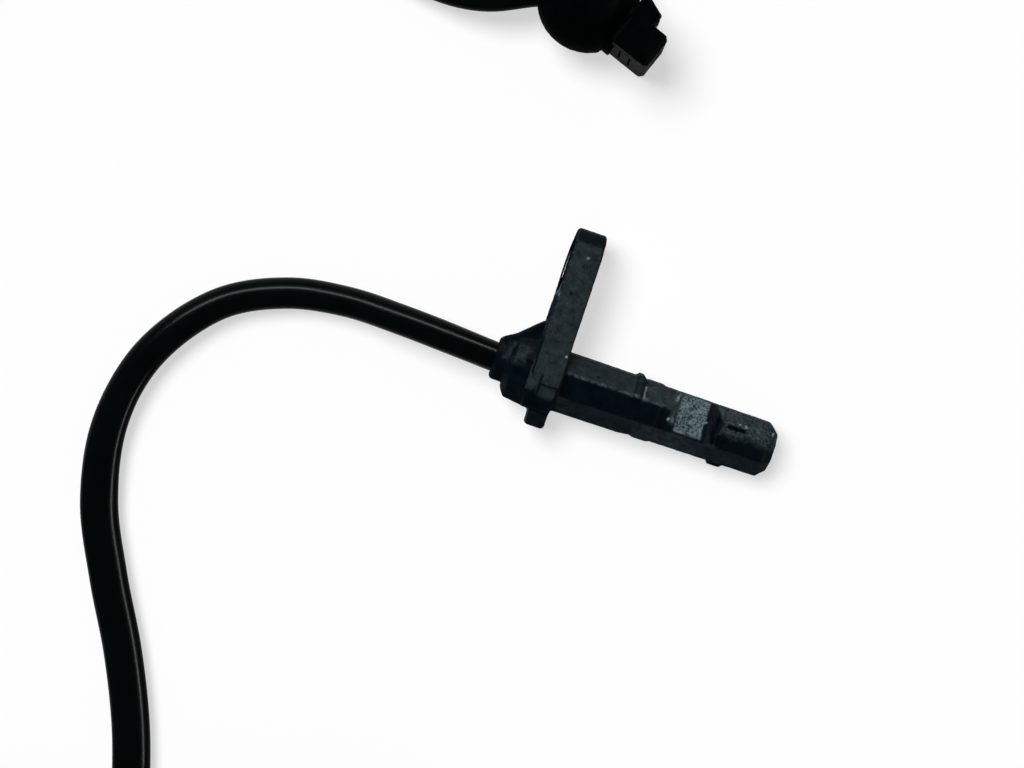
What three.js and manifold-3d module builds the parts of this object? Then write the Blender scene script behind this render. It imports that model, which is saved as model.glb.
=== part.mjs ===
// Wheel speed sensor with its lead and plug, in millimetres, +Z up, lying on a flat surface at z = 0.
// The head rests on the edge of its flange and on the tip of its barrel, with +X along the barrel.
import * as THREE from "three";
import { mergeVertices } from "three/addons/utils/BufferGeometryUtils.js";
import Module from "manifold-3d";

// Fits
const FIT = 0.3; // between pieces that touch on the real sensor
const BUSH_FIT = 0.15; // between the bush and its hole

// Barrel: an eight-sided shaft, turned so that its flat window faces 17 degrees towards the ear
const SIDES = 8;
const ROLL_DEG = -17;
const BARREL_LENGTH = 36.5;
const BARREL_RADIUS = 5.25; // corner to axis, at the flange
const BARREL_TAPER = 0.007; // radius lost per millimetre
const SHOULDER_X = 16.2; // where the barrel steps down
const SHOULDER_STEP = 0.22;
const SHOULDER_LENGTH = 0.5;
const BEAD_X = 11.6;
const BEAD_WIDTH = 1.6;
const BEAD_HEIGHT = 0.5;
const GROOVE_WIDTH = 0.66; // behind the bead
const GROOVE_DEPTH = 0.22;
const TIP_CHAMFER = 1.5;
const TIP_DOME = 0.35;
const WINDOW_X = 19.5;
const WINDOW_LENGTH = 5.2;
const NOTCH_LENGTH = 2.6; // the recess between the window and the tip
const NOTCH_DEPTH = 0.75; // below the window
const NOTCH_FLOOR = 0.3; // length of its flat floor
const NOTCH_LEAN = 0.26; // lean of its steep end, per millimetre of height
const TIP_SLOT_LENGTH = 3.9;
const TIP_SLOT_WIDTH = 0.8;
const TIP_SLOT_DEPTH = 0.8;
const RIB_LENGTH = 3.0;
const RIB_HEIGHT = 0.5;
const RIB_SETBACK = 0.5; // from the notch's end to the rib's middle

// Flange, seen edge on from above
const FLANGE_THICKNESS = 4.85;
const FLANGE_STEP = 1.7; // thickness of the rear layer, which stops short
const EAR_WIDTH = 12.5;
const HOLE_Y = 18.15;
const FRONT_CORNER_Y = -1.45;
const REAR_CORNER_Y = 0.2;
const FLANGE_FOOT_Y = -5.8;
const FLANGE_FOOT_WIDTH = 6.8;
const KEY_END_Y = 3.9;
const KEY_HEIGHT = 0.35;
const TAB_REACH = 8.3;
const TAB_WIDTH = 5.2;
const TAB_THICKNESS = 3.2;
const TAB_SETBACK = 0.1; // behind the flange's front face
const TAB_CORNER = 0.4;
const EDGE = 0.3; // small bevel on moulded edges

// Bush for a 6 mm bolt
const BUSH_OUTER = 4.5;
const BUSH_INNER = 3.3;
const BUSH_PROUD = 0.15;

// Rear boss
const BOSS_LENGTH = 3.95;
const BOSS_RADIUS = 6.0;
const BOSS_DRAFT = 0.45;
const BOSS_CHAMFER = 0.8;
const COLLAR_LENGTH = 2.3;
const COLLAR_RADIUS = 3.75;
const COLLAR_CHAMFER = 0.4;
const EXIT_Y = 0.35; // the lead comes out this far towards the ear
const GUSSET_Y = 8.5;
const GUSSET_KNEE = 1.0; // over the collar
const GUSSET_THICKNESS = 5.6;

// Lead
const CABLE_DIAMETER = 5.2;
const CABLE_SIDES = 10;
const CABLE_STEP = 6.0; // length of one straight step of its tube
const JACKET_INSIDE = 7.0; // how far the jacket reaches into the boss
const CORE_RADIUS = 0.75;
const CORE_SPACING = 2.4;
const CONDUCTOR_RADIUS = 0.38;

// What lies inside the barrel, in the barrel's rolled frame
const POCKET_HALF_WIDTH = 2.5;
const POCKET_FLOOR = -2.3;
const POCKET_TOP = 1.9;
const TIP_WALL = 3.7;
const CORE_REACH = 5.8; // from the pocket's start to the crimps
const CRIMP_LENGTH = 4.4;
const CRIMP_RADIUS = 0.9;
const CRIMP_BORE = 0.55;
const LEAD_WIDTH = 0.7;
const LEAD_THICKNESS = 0.26;
const LEAD_TOP = 1.2; // height of the strips beside the chip
const LEAD_BEND_START = 1.4; // past the crimps
const LEAD_BEND_LENGTH = 2.0;
const CHIP_LENGTH = 4.5;
const CHIP_WIDTH = 3.8;
const CHIP_THICKNESS = 0.95;
const MAGNET_THICKNESS = 1.15;
const CAPACITOR_LENGTH = 3.2;
const CAPACITOR_WIDTH = 3.6;
const CAPACITOR_GAP = 6.0; // to the wall behind the chip
const CARRIER_WALL = 0.7;
const CARRIER_FLOOR = 1.3;
const SADDLE_GAP = 4.0; // from the capacitor to the wall that holds the strips
const MAGNET_BED = 0.4; // how far the magnet is let into the carrier
const CRIMP_BED = 0.55; // how far the carrier is lower under the crimps
const CRIMP_BED_LENGTH = 2.0; // past the crimps
const CRIMP_BED_RAMP = 1.0;

// Coil of the lead
const COIL_RADIUS = 31; // at the middle of the turns
const COIL_LAYERS = 2;
const COIL_SIDES = 48;
const COIL_CENTRE = [-17, -114.1];
const TIE_WIDTH = 3.6;
const TIE_THICKNESS = 1.0;
const TIE_HEAD = 4.2;
const TIE_LIFT = 0.1; // over the surface
const TIE_ANGLES_DEG = [70, 250];

// Plug
const PLUG_CENTRE = [-27.45, 51.15]; // middle of the boot's ball
const PLUG_TURN_DEG = -20.3;
const LEAD_TURN_DEG = 38.9; // the way that the lead comes in, against the plug's axis
const LEAD_IN_Y = 2.1; // how far it comes in beside the ball's middle
const BOOT_RADIUS = 8.4;
const BOOT_HEIGHT = 8.3; // half of it
const BOOT_WALL = 1.8;
const SPIGOT_RADIUS = 5.0;
const SPIGOT_BACK = 1.0;
const NOSE_FRONT = 14.1;
const NOSE_SIDES = [-3.7, 2.3];
const NOSE_HEIGHT = 8.2; // half of it
const LATCH_FRONT = 11.0;
const LATCH_TOP = 5.4;
const LATCH_RAMP = 3.0; // length of the slope at its front
const LATCH_DROP = 1.1; // how far the slope falls
const LATCH_THICKNESS = 1.35;
const LATCH_WIDTH = 6.0;
const LATCH_POST = 1.8;
const RAIL_THICKNESS = 1.9;
const CAVITY_Y = -0.5;
const CAVITY_SPACING = 5.0;
const TERMINAL_SIZE = 1.8;
const TERMINAL_LENGTH = 6.4;
const TERMINAL_BACK_WALL = 1.0;
const TERMINAL_SETBACK = 1.0; // behind the plug's front
const SEAL_LENGTH = 4.0;
const SEAL_RADIUS = 1.85;
const SEAL_BORE = 0.99; // its radius
const SEAL_RIB_HEIGHT = 0.4;
const SEAL_RIBS = 3;
const BARE_LENGTH = 2.4; // of the core's conductor, in the terminal
const LOCK_X = 9.3;
const LOCK_THICKNESS = 1.6;
const LOCK_WIDTH = 8.4;

// The lead's route, chosen by hand: out of the boss, down to the surface, left and round to the coil
const SENSOR_ROUTE = [
  [-16.69, -7.7, 6.44],
  [-20.2, -7.7, 6.61],
  [-23.68, -7.7, 6.78],
  [-28.8, -7.4, 6.9],
  [-39.1, -6.9, 5.8],
  [-49.2, -6.9, 3.6],
  [-59.0, -8.7, 2.62],
  [-68.8, -13.9, 2.6],
  [-76.9, -25.0, 2.6],
  [-79.4, -37.4, 2.6],
  [-77.1, -50.2, 2.6],
  [-71.7, -61.5, 2.6],
  [-65.6, -72.3, 2.6],
  [-60.5, -83.4, 2.6],
  [-56.6, -95.0, 2.75],
  [-54.7, -100.6, 3.3],
  [-52.4, -106.1, 3.85],
];
const EXIT_POINT = SENSOR_ROUTE[2]; // where the lead leaves the boss
// From the top of the coil over the lead, up the far side and into the plug's boot
const PLUG_ROUTE = [
  [-45.2, -91.0, 9.45],
  [-56.2, -95.1, 8.8],
  [-68.3, -99.9, 5.4],
  [-80.4, -101.2, 2.75],
  [-90.4, -92.8, 2.6],
  [-96.6, -75.0, 2.6],
  [-104.0, -50.1, 2.6],
  [-111.8, -26.5, 2.6],
  [-119.8, -3.3, 2.6],
  [-123.2, 7.7, 2.6],
  [-124.6, 17.7, 2.6],
  [-122.6, 26.9, 2.6],
  [-117.4, 33.7, 2.6],
  [-109.2, 38.3, 2.6],
  [-98.6, 42.4, 2.6],
  [-86.8, 46.2, 2.6],
  [-68.2, 48.6, 2.6],
  [-60.0, 47.8, 3.0],
  [-53.0, 46.9, 4.3],
  [-47.6, 46.7, 5.9],
  [-42.8, 47.5, 7.3],
  [-36.27, 50.4, 8.3],
  [-33.14, 51.45, 8.3],
];

// How finely round forms are faceted, and how far joined forms and cutters overlap
const ROUND = 32;
const SMALL_ROUND = 12;
const OVERLAP = 1; // how far joined forms reach into each other
const PAST = 3; // how far a cutter reaches past what it cuts

const rad = THREE.MathUtils.degToRad;
const wasm = await Module();
wasm.setup();

const moulded = new THREE.MeshStandardMaterial({ color: 0x1c1f22, roughness: 0.55 });
const jacket = new THREE.MeshStandardMaterial({ color: 0x0b0c0d, roughness: 0.28 });
const rubber = new THREE.MeshStandardMaterial({ color: 0x101112, roughness: 0.6 });
const steel = new THREE.MeshStandardMaterial({ color: 0xa9abac, roughness: 0.4, metalness: 1 });
const tinned = new THREE.MeshStandardMaterial({ color: 0xc2c0b8, roughness: 0.3, metalness: 1 });
const magnetic = new THREE.MeshStandardMaterial({ color: 0x3a3a3c, roughness: 0.5, metalness: 0.6 });
const epoxy = new THREE.MeshStandardMaterial({ color: 0x151516, roughness: 0.4 });
const carrierPlastic = new THREE.MeshStandardMaterial({ color: 0x8c8468, roughness: 0.6 });
const blueCore = new THREE.MeshStandardMaterial({ color: 0x24468c, roughness: 0.5 });
const brownCore = new THREE.MeshStandardMaterial({ color: 0x5a3420, roughness: 0.5 });
const sealRubber = new THREE.MeshStandardMaterial({ color: 0x8a3a1c, roughness: 0.6 });
const lockPlastic = new THREE.MeshStandardMaterial({ color: 0x5d6266, roughness: 0.5 });

// The two wires that run from the chip to the plug, on either side of the middle
const WIRES = [
  { name: "supply", side: 1, insulation: brownCore },
  { name: "signal", side: -1, insulation: blueCore },
];

// A closed three.js geometry as a solid, whichever way its faces were wound.
function solid(geometry) {
  const bare = geometry.index ? geometry.toNonIndexed() : geometry.clone();
  bare.deleteAttribute("normal");
  bare.deleteAttribute("uv");
  const merged = mergeVertices(bare, 1e-4);
  const vertProperties = merged.attributes.position.array;
  const build = (triVerts) => new wasm.Manifold(new wasm.Mesh({ numProp: 3, vertProperties, triVerts }));
  const triVerts = new Uint32Array(merged.index.array);
  const made = build(triVerts);
  return made.volume() > 0 ? made : build(triVerts.reverse());
}

// A solid as a named mesh.
function piece(name, made, material) {
  const { numProp, vertProperties, triVerts } = made.getMesh();
  const position = new Float32Array((vertProperties.length / numProp) * 3);
  for (let i = 0; i * 3 < position.length; i++) {
    position.set(vertProperties.subarray(i * numProp, i * numProp + 3), i * 3);
  }
  const geometry = new THREE.BufferGeometry();
  geometry.setAttribute("position", new THREE.BufferAttribute(position, 3));
  geometry.setIndex(new THREE.BufferAttribute(new Uint32Array(triVerts), 1));
  const flat = geometry.toNonIndexed();
  flat.computeVertexNormals();
  const mesh = new THREE.Mesh(flat, material);
  mesh.name = name;
  return mesh;
}

const join = (...solids) => solids.reduce((a, b) => a.add(b));

const X = new THREE.Vector3(1, 0, 0);
const Y = new THREE.Vector3(0, 1, 0);
const Z = new THREE.Vector3(0, 0, 1);
const ALONG_X = [Y, Z, X]; // outline in (y, z)
const ALONG_Y = [X, Z, Y.clone().negate()]; // outline in (x, z), from and to counted along -y
const ALONG_Z = [X, Y, Z]; // outline in (x, y)

// A closed outline, extruded between two planes. It is a shape or a list of [first, second] points,
// the axes say which way its two directions and the extrusion run, and bevel breaks its long edges.
function prism(outline, from, to, axes, bevel = 0) {
  const corners = (points) => new THREE.Shape(points.map(([a, b]) => new THREE.Vector2(a, b)));
  const geometry = new THREE.ExtrudeGeometry(outline instanceof THREE.Shape ? outline : corners(outline), {
    depth: to - from - 2 * bevel,
    steps: 1,
    curveSegments: SMALL_ROUND,
    bevelEnabled: bevel > 0,
    bevelThickness: bevel,
    bevelSize: bevel,
    bevelOffset: -bevel,
    bevelSegments: 1,
  });
  geometry.translate(0, 0, from + bevel);
  geometry.applyMatrix4(new THREE.Matrix4().makeBasis(...axes));
  return solid(geometry);
}

// A box between two corners.
function block([x0, y0, z0], [x1, y1, z1], bevel = 0) {
  return prism([[y0, z0], [y1, z0], [y1, z1], [y0, z1]], x0, x1, ALONG_X, bevel);
}

// A [radius, x] profile turned round the x axis. Angles run from straight up towards -y.
function turned(profile, sides, startDeg = 0, y = 0, z = 0) {
  const points = profile.map(([r, x]) => new THREE.Vector2(r, x));
  const geometry = new THREE.LatheGeometry(points, sides, rad(startDeg));
  geometry.applyMatrix4(new THREE.Matrix4().makeBasis(Y.clone().negate(), X, Z));
  geometry.translate(0, y, z);
  return solid(geometry);
}

const rod = (radius, x0, x1, sides = ROUND, y = 0, z = 0) =>
  turned([[0, x0], [radius, x0], [radius, x1], [0, x1]], sides, 0, y, z);

const tube = (outer, inner, x0, x1, sides = ROUND, y = 0, z = 0) =>
  turned([[inner, x0], [outer, x0], [outer, x1], [inner, x1], [inner, x0]], sides, 0, y, z);

// A ball whose middle is at the origin.
const ball = (radius, height) => solid(new THREE.SphereGeometry(1, 36, 20).scale(radius, radius, height));

// A round section swept along a curve, in steps of about the given length.
function swept(path, radius, sides, step) {
  const section = new THREE.Shape();
  for (let i = 0; i < sides; i++) {
    const turn = (2 * Math.PI * i) / sides;
    section[i ? "lineTo" : "moveTo"](radius * Math.cos(turn), radius * Math.sin(turn));
  }
  const steps = Math.round(path.getLength() / step);
  return solid(new THREE.ExtrudeGeometry(section, { steps, bevelEnabled: false, extrudePath: path }));
}

// A solid turned about the barrel's axis, from its rolled frame into the head's.
const rolled = (made) => made.rotate([ROLL_DEG, 0, 0]);

const barrelRadiusAt = (x) => BARREL_RADIUS - BARREL_TAPER * x - (x > SHOULDER_X ? SHOULDER_STEP : 0);
const tipCornerX = BARREL_LENGTH - TIP_DOME - TIP_CHAMFER;
const tipRadius = barrelRadiusAt(tipCornerX);
// The window joins two corners with one corner left out between them.
const windowHeight = barrelRadiusAt(WINDOW_X) * Math.cos(rad(360 / SIDES));
const notchX = WINDOW_X + WINDOW_LENGTH;
const tipX = notchX + NOTCH_LENGTH;
const collarX = -FLANGE_THICKNESS - BOSS_LENGTH;
const exitX = collarX - COLLAR_LENGTH;
const jacketEndX = exitX + JACKET_INSIDE;
const cableRadius = CABLE_DIAMETER / 2;
const pocketStart = jacketEndX + FIT;
const pocketEnd = BARREL_LENGTH - TIP_WALL;

function barrel() {
  const beadEnd = BEAD_X + BEAD_WIDTH;
  const groove = barrelRadiusAt(BEAD_X) - GROOVE_DEPTH;
  const shoulderEnd = SHOULDER_X + SHOULDER_LENGTH;
  return turned(
    [
      [0, -OVERLAP],
      [BARREL_RADIUS, -OVERLAP],
      [BARREL_RADIUS, 0],
      [barrelRadiusAt(BEAD_X), BEAD_X],
      [groove, beadEnd],
      [groove, beadEnd + GROOVE_WIDTH / 3],
      [barrelRadiusAt(beadEnd), beadEnd + GROOVE_WIDTH],
      [barrelRadiusAt(SHOULDER_X), SHOULDER_X],
      [barrelRadiusAt(shoulderEnd), shoulderEnd],
      [tipRadius, tipCornerX],
      [tipRadius - TIP_CHAMFER, BARREL_LENGTH - TIP_DOME],
      [0, BARREL_LENGTH],
    ],
    SIDES,
    ROLL_DEG,
  );
}

// The bead crosses only the two facets on the ear's side.
function bead() {
  const base = barrelRadiusAt(BEAD_X);
  const top = base + BEAD_HEIGHT;
  const slope = BEAD_WIDTH / 4;
  const beadEnd = BEAD_X + BEAD_WIDTH;
  const ring = turned(
    [
      [0, BEAD_X],
      [base, BEAD_X],
      [top, BEAD_X + slope],
      [top, beadEnd - slope],
      [base, beadEnd],
      [0, beadEnd],
    ],
    SIDES,
    ROLL_DEG,
  );
  const half = top * Math.sin(rad(360 / SIDES));
  const keep = block([BEAD_X, -half, half / 2], [beadEnd, half, top]);
  return ring.intersect(keep.rotate([ROLL_DEG - 360 / SIDES, 0, 0]));
}

// What is cut out of the barrel's top: the flat window with a ramp to it, the notch and the tip's slot.
function barrelCuts() {
  const high = BARREL_RADIUS + PAST;
  const floor = windowHeight - NOTCH_DEPTH;
  const steepEnd = (z) => tipX + (z - tipRadius) * NOTCH_LEAN;
  const outline = [
    [WINDOW_X, windowHeight],
    [notchX, windowHeight],
    [steepEnd(floor) - NOTCH_FLOOR, floor],
    [steepEnd(floor), floor],
    [steepEnd(high), high],
    [WINDOW_X - (high - windowHeight), high],
  ];
  const window = prism(outline, -high, high, ALONG_Y);
  const half = TIP_SLOT_WIDTH / 2;
  const slot = block([tipX, -half, tipRadius - TIP_SLOT_DEPTH], [tipX + TIP_SLOT_LENGTH, half, high]);
  return rolled(join(window, slot));
}

function crushRib() {
  const side = -tipRadius * Math.cos(rad(ROLL_DEG));
  const half = RIB_LENGTH / 2;
  const [start, end] = [tipX + RIB_SETBACK - half, tipX + RIB_SETBACK + half];
  const outline = [
    [start, side + OVERLAP],
    [start + RIB_HEIGHT, side - RIB_HEIGHT],
    [end - RIB_HEIGHT, side - RIB_HEIGHT],
    [end, side + OVERLAP],
  ];
  return prism(outline, -half, half, ALONG_Z);
}

// The flange's outline across the barrel: a round-ended ear, a corner on each side and a narrow foot.
function flangeOutline(cornerY) {
  const half = EAR_WIDTH / 2;
  const outline = new THREE.Shape();
  outline.moveTo(cornerY, -half);
  outline.lineTo(HOLE_Y, -half);
  outline.absarc(HOLE_Y, 0, half, -Math.PI / 2, Math.PI / 2, false);
  outline.lineTo(cornerY, half);
  outline.lineTo(FLANGE_FOOT_Y, FLANGE_FOOT_WIDTH / 2);
  outline.lineTo(FLANGE_FOOT_Y, -FLANGE_FOOT_WIDTH / 2);
  return outline;
}

function flange() {
  const half = EAR_WIDTH / 2;
  const stepX = -FLANGE_THICKNESS + FLANGE_STEP;
  const rear = prism(flangeOutline(REAR_CORNER_Y), -FLANGE_THICKNESS, -EDGE * 2, ALONG_X, EDGE);
  const front = prism(flangeOutline(FRONT_CORNER_Y), stepX, 0, ALONG_X, EDGE);
  const key = block([stepX, FRONT_CORNER_Y, half - OVERLAP], [0, KEY_END_Y, half + KEY_HEIGHT], EDGE / 2);
  const tabFront = -TAB_SETBACK;
  const tabBack = tabFront - TAB_THICKNESS;
  const tabOutline = [
    [tabBack, FLANGE_FOOT_Y + OVERLAP],
    [tabBack, TAB_CORNER - TAB_REACH],
    [tabBack + TAB_CORNER, -TAB_REACH],
    [tabFront - TAB_CORNER, -TAB_REACH],
    [tabFront, TAB_CORNER - TAB_REACH],
    [tabFront, FLANGE_FOOT_Y + OVERLAP],
  ];
  return join(rear, front, key, prism(tabOutline, -TAB_WIDTH / 2, TAB_WIDTH / 2, ALONG_Z));
}

// The rear boss, its collar round the lead, and the gusset that ties them to the ear.
function boss() {
  const rootX = OVERLAP - FLANGE_THICKNESS;
  const root = turned(
    [
      [0, rootX],
      [BOSS_RADIUS, rootX],
      [BOSS_RADIUS, -FLANGE_THICKNESS],
      [BOSS_RADIUS - BOSS_DRAFT, collarX + BOSS_CHAMFER],
      [COLLAR_RADIUS + BOSS_DRAFT, collarX],
      [0, collarX],
    ],
    SIDES,
    ROLL_DEG,
  );
  const collar = turned(
    [
      [0, collarX + OVERLAP],
      [COLLAR_RADIUS, collarX + OVERLAP],
      [COLLAR_RADIUS, exitX + COLLAR_CHAMFER],
      [COLLAR_RADIUS - COLLAR_CHAMFER, exitX],
      [0, exitX],
    ],
    SIDES,
    ROLL_DEG,
    EXIT_Y,
  );
  const gussetX = exitX + COLLAR_CHAMFER;
  const gussetOutline = [
    [rootX, GUSSET_Y],
    [-FLANGE_THICKNESS - EDGE, GUSSET_Y],
    [collarX, EXIT_Y + COLLAR_RADIUS + GUSSET_KNEE],
    [gussetX, EXIT_Y + COLLAR_RADIUS * Math.cos(rad(ROLL_DEG))],
    [gussetX, EXIT_Y + cableRadius + FIT + COLLAR_CHAMFER],
    [collarX, 0],
    [rootX, 0],
  ];
  const gusset = prism(gussetOutline, -GUSSET_THICKNESS / 2, GUSSET_THICKNESS / 2, ALONG_Z, EDGE);
  return join(root, collar, gusset);
}

// The hollow of the moulding: the jacket's bore and the long pocket of the electronics.
function pocket() {
  const bore = rod(cableRadius + FIT, exitX - PAST, pocketStart + FIT, ROUND, EXIT_Y);
  const half = POCKET_HALF_WIDTH;
  const room = block([pocketStart, -half, POCKET_FLOOR], [pocketEnd, half, POCKET_TOP]);
  return join(bore, rolled(room));
}

function sensorHousing() {
  const boltHole = rod(BUSH_OUTER + BUSH_FIT, -FLANGE_THICKNESS - PAST, PAST, ROUND, HOLE_Y);
  const made = join(barrel(), bead(), flange(), boss(), crushRib())
    .subtract(barrelCuts())
    .subtract(pocket())
    .subtract(boltHole);
  return piece("sensor_housing", made, moulded);
}

function mountingBush() {
  const made = tube(BUSH_OUTER, BUSH_INNER, -FLANGE_THICKNESS - BUSH_PROUD, 0, ROUND, HOLE_Y);
  return piece("mounting_bush", made, steel);
}

// The electronics, in the rolled frame, from the jacket's end to the tip
const coreY = CORE_SPACING / 2;
const crimpStart = pocketStart + CORE_REACH;
const crimpEnd = crimpStart + CRIMP_LENGTH;
const crimpMiddle = (crimpStart + crimpEnd) / 2;
const carrierEnd = pocketEnd - FIT;
const carrierBase = POCKET_FLOOR + FIT;
const carrierTop = carrierBase + CARRIER_FLOOR;
const magnetBed = carrierTop - MAGNET_BED;
const chipEnd = carrierEnd - CARRIER_WALL - FIT;
const chipStart = chipEnd - CHIP_LENGTH;
const chipTop = POCKET_TOP - FIT;
const chipWallX = chipStart - FIT - CARRIER_WALL;
const leadUnderside = LEAD_TOP - LEAD_THICKNESS / 2;
const capacitorEnd = chipWallX + FIT - CAPACITOR_GAP;
const capacitorStart = capacitorEnd - CAPACITOR_LENGTH;

function chipCarrier() {
  const crimpBed = carrierTop - CRIMP_BED;
  const bedEnd = crimpEnd + CRIMP_BED_LENGTH;
  const saddle = leadUnderside - FIT;
  const saddleX = capacitorStart - SADDLE_GAP;
  const outline = [
    [crimpStart, carrierBase],
    [carrierEnd, carrierBase],
    [carrierEnd, chipTop],
    [carrierEnd - CARRIER_WALL, chipTop],
    [carrierEnd - CARRIER_WALL, magnetBed],
    [chipWallX + CARRIER_WALL, magnetBed],
    [chipWallX + CARRIER_WALL, saddle],
    [chipWallX, saddle],
    [chipWallX, carrierTop],
    [saddleX + CARRIER_WALL, carrierTop],
    [saddleX + CARRIER_WALL, saddle],
    [saddleX, saddle],
    [saddleX, carrierTop],
    [bedEnd + CRIMP_BED_RAMP, carrierTop],
    [bedEnd, crimpBed],
    [crimpStart, crimpBed],
  ];
  const half = POCKET_HALF_WIDTH - FIT;
  return piece("chip_carrier", prism(outline, -half, half, ALONG_Y), carrierPlastic);
}

function biasMagnet() {
  const low = magnetBed + FIT;
  const half = CHIP_WIDTH / 2;
  const made = block([chipStart, -half, low], [chipEnd, half, low + MAGNET_THICKNESS]);
  return piece("bias_magnet", made, magnetic);
}

function sensingChip() {
  const half = CHIP_WIDTH / 2;
  const made = block([chipStart, -half, chipTop - CHIP_THICKNESS], [chipEnd, half, chipTop]);
  return piece("sensing_chip", made, epoxy);
}

function smoothingCapacitor() {
  const half = CAPACITOR_WIDTH / 2;
  const made = block([capacitorStart, -half, carrierTop + FIT], [capacitorEnd, half, leadUnderside - FIT]);
  return piece("smoothing_capacitor", made, epoxy);
}

// A strip from the crimp up to the height of the chip, cut from sheet.
function leadFrame({ name, side }) {
  const t = LEAD_THICKNESS / 2;
  const start = crimpMiddle + FIT;
  const end = chipStart - FIT;
  const bendStart = crimpEnd + LEAD_BEND_START;
  const bendEnd = bendStart + LEAD_BEND_LENGTH;
  const outline = [
    [start, -t],
    [bendStart + t, -t],
    [bendEnd + t, LEAD_TOP - t],
    [end, LEAD_TOP - t],
    [end, LEAD_TOP + t],
    [bendEnd - t, LEAD_TOP + t],
    [bendStart - t, t],
    [start, t],
  ];
  const middle = -side * coreY;
  const made = prism(outline, middle - LEAD_WIDTH / 2, middle + LEAD_WIDTH / 2, ALONG_Y);
  return piece(`lead_frame_${name}`, made, tinned);
}

function crimpSleeve({ name, side }) {
  const made = tube(CRIMP_RADIUS, CRIMP_BORE, crimpStart, crimpEnd, SMALL_ROUND, side * coreY);
  return piece(`crimp_sleeve_${name}`, made, tinned);
}

// An insulated core with its bare end.
function coreWire({ name, side, insulation }) {
  const profile = [
    [0, pocketStart],
    [CORE_RADIUS, pocketStart],
    [CORE_RADIUS, crimpStart - FIT],
    [CONDUCTOR_RADIUS, crimpStart - FIT],
    [CONDUCTOR_RADIUS, crimpMiddle],
    [0, crimpMiddle],
  ];
  return piece(`core_wire_${name}`, turned(profile, SMALL_ROUND, 0, side * coreY), insulation);
}

function electronics() {
  const group = new THREE.Group();
  group.rotation.x = rad(ROLL_DEG);
  group.add(chipCarrier(), biasMagnet(), sensingChip(), smoothingCapacitor());
  for (const wire of WIRES) {
    group.add(leadFrame(wire), crimpSleeve(wire), coreWire(wire));
  }
  return group;
}

// The head, tipped until it rests on the flange's edge and the barrel's tip. Its place is set by the
// point where the lead leaves it.
function sensorHead() {
  const head = new THREE.Group();
  head.add(sensorHousing(), mountingBush(), electronics());
  const tipDrop = tipRadius * Math.cos(rad(ROLL_DEG));
  head.rotation.y = Math.atan((EAR_WIDTH / 2 - tipDrop) / tipCornerX);
  head.updateMatrixWorld(true);
  const lowest = new THREE.Box3().setFromObject(head, true).min.z;
  const exit = new THREE.Vector3(exitX, EXIT_Y, 0).applyMatrix4(head.matrixWorld);
  head.position.set(EXIT_POINT[0] - exit.x, EXIT_POINT[1] - exit.y, -lowest);
  return head;
}

// The stretch of lead along one of the two routes.
function cableRun(name, route) {
  const points = route.map((point) => new THREE.Vector3(...point));
  const path = new THREE.CatmullRomCurve3(points, false, "centripetal");
  return piece(name, swept(path, cableRadius, CABLE_SIDES, CABLE_STEP), jacket);
}

const coilHalfWidth = (CABLE_DIAMETER + FIT) / 2;
const coilHeight = COIL_LAYERS * CABLE_DIAMETER + ((COIL_LAYERS - 1) * FIT) / 2;
const coilBase = TIE_LIFT + TIE_THICKNESS + FIT;

// The outer shape of the coiled turns.
function coil() {
  const soft = cableRadius / 2;
  const [inner, outer] = [COIL_RADIUS - coilHalfWidth, COIL_RADIUS + coilHalfWidth];
  const top = coilBase + coilHeight;
  const section = [
    [inner, coilBase + soft],
    [inner + soft, coilBase],
    [outer - soft, coilBase],
    [outer, coilBase + soft],
    [outer, top - soft],
    [outer - soft, top],
    [inner + soft, top],
    [inner, top - soft],
    [inner, coilBase + soft],
  ];
  const ring = new THREE.LatheGeometry(section.map(([r, z]) => new THREE.Vector2(r, z)), COIL_SIDES);
  ring.rotateX(Math.PI / 2);
  const mesh = piece("cable_coil", solid(ring), jacket);
  mesh.position.set(...COIL_CENTRE, 0);
  return mesh;
}

// A flat tie round the coil's section, with its small locking head outside.
function coilTie(name, angleDeg) {
  const gap = coilHalfWidth + FIT;
  const out = gap + TIE_THICKNESS;
  const low = coilBase - FIT;
  const high = coilBase + coilHeight + FIT;
  const half = TIE_WIDTH / 2;
  const band = block(
    [COIL_RADIUS - out, -half, low - TIE_THICKNESS],
    [COIL_RADIUS + out, half, high + TIE_THICKNESS],
  );
  const inside = block([COIL_RADIUS - gap, -half - PAST, low], [COIL_RADIUS + gap, half + PAST, high]);
  const middle = (low + high) / 2;
  const headHalf = TIE_HEAD / 2;
  const head = block(
    [COIL_RADIUS + out - TIE_THICKNESS / 2, -headHalf, middle - headHalf],
    [COIL_RADIUS + out + headHalf, headHalf, middle + headHalf],
    EDGE,
  );
  const mesh = piece(name, band.subtract(inside).add(head), moulded);
  mesh.position.set(...COIL_CENTRE, 0);
  mesh.rotation.z = rad(angleDeg);
  return mesh;
}

// The plug, in its own frame: x along its axis to the front, the middle of the boot's ball at 0
const cavityZ = CAVITY_SPACING / 2;
const mouthRadius = SPIGOT_RADIUS + FIT;
const noseBack = Math.sqrt(BOOT_RADIUS ** 2 - mouthRadius ** 2) + FIT; // just clear of the ball
const sealFront = SEAL_LENGTH - SPIGOT_BACK + FIT;
const terminalFront = NOSE_FRONT - TERMINAL_SETBACK;
const terminalBack = terminalFront - TERMINAL_LENGTH;
const lockTop = CAVITY_Y - TERMINAL_SIZE / 2 - FIT; // just clear of the terminals

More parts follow.
